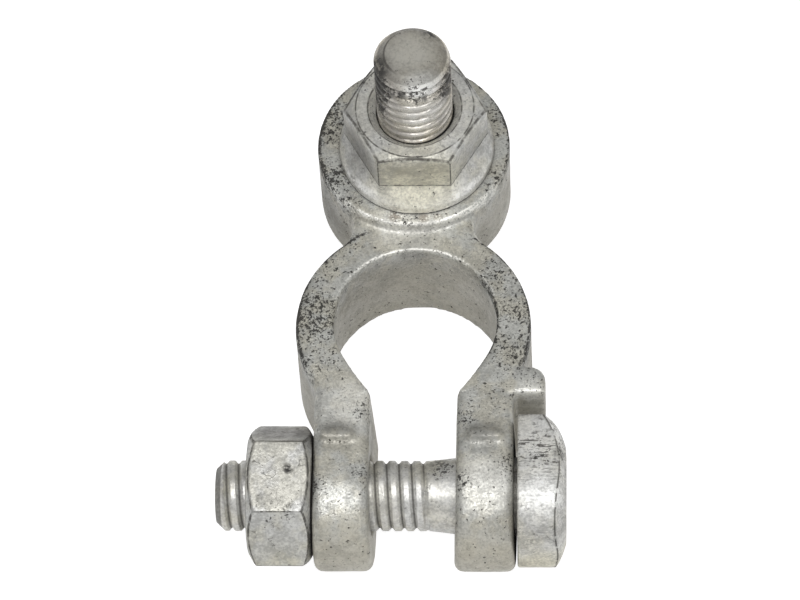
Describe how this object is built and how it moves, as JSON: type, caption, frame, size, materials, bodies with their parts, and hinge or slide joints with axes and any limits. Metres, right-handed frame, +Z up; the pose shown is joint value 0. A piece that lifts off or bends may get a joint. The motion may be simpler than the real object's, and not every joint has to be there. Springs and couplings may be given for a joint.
{
  "type": "battery terminal clamp",
  "caption": "Split ring clamp for a tapered battery post, closed by a bolt and nut through two ears, with a threaded stud and flange nut for the cable's eye.",
  "frame": {"origin": "centre of the post bore on the clamp's underside", "axes": "+Z up along the post bore and the stud, +Y from the post bore to the stud boss, +X towards the clamp bolt's head"},
  "size_m": [0.0355, 0.0557, 0.0317],
  "materials": {
    "tinned_casting": "tin-plated brass casting, satin, with dark pits",
    "bolt_steel": "zinc-plated steel, worn",
    "nut_steel": "zinc-plated steel, satin",
    "stud_steel": "zinc-plated steel, bright thread"
  },
  "bodies": {
    "clamp_body": {"clamp_body": "tinned_casting"},
    "clamp_bolt": {"clamp_bolt": "bolt_steel"},
    "clamp_nut": {"clamp_nut": "nut_steel"},
    "terminal_stud": {"terminal_stud": "stud_steel"},
    "stud_nut": {"stud_nut": "nut_steel"}
  },
  "joints": [
    {"name": "clamp_nut_spin", "type": "hinge", "parent": "clamp_body", "child": "clamp_nut", "pos_m": [-0.0134, -0.0172, 0.0071], "axis": [-1, 0, 0], "range_deg": [0, 2160]},
    {"name": "clamp_bolt_slide", "type": "slide", "parent": "clamp_body", "child": "clamp_bolt", "axis": [1, 0, 0], "range_m": [0, 0.0075]},
    {"name": "stud_nut_spin", "type": "hinge", "parent": "clamp_body", "child": "stud_nut", "pos_m": [-0.00015, 0.02026, 0.018], "axis": [0, 0, 1], "range_deg": [0, 2160]},
    {"name": "stud_slide", "type": "slide", "parent": "clamp_body", "child": "terminal_stud", "axis": [0, 0, -1], "range_m": [0, 0.0075]}
  ],
  "couplings": [
    {"joint": "clamp_bolt_slide", "follows": "clamp_nut_spin", "m_per_rad": 0.00019894},
    {"joint": "stud_slide", "follows": "stud_nut_spin", "m_per_rad": 0.00019894}
  ]
}
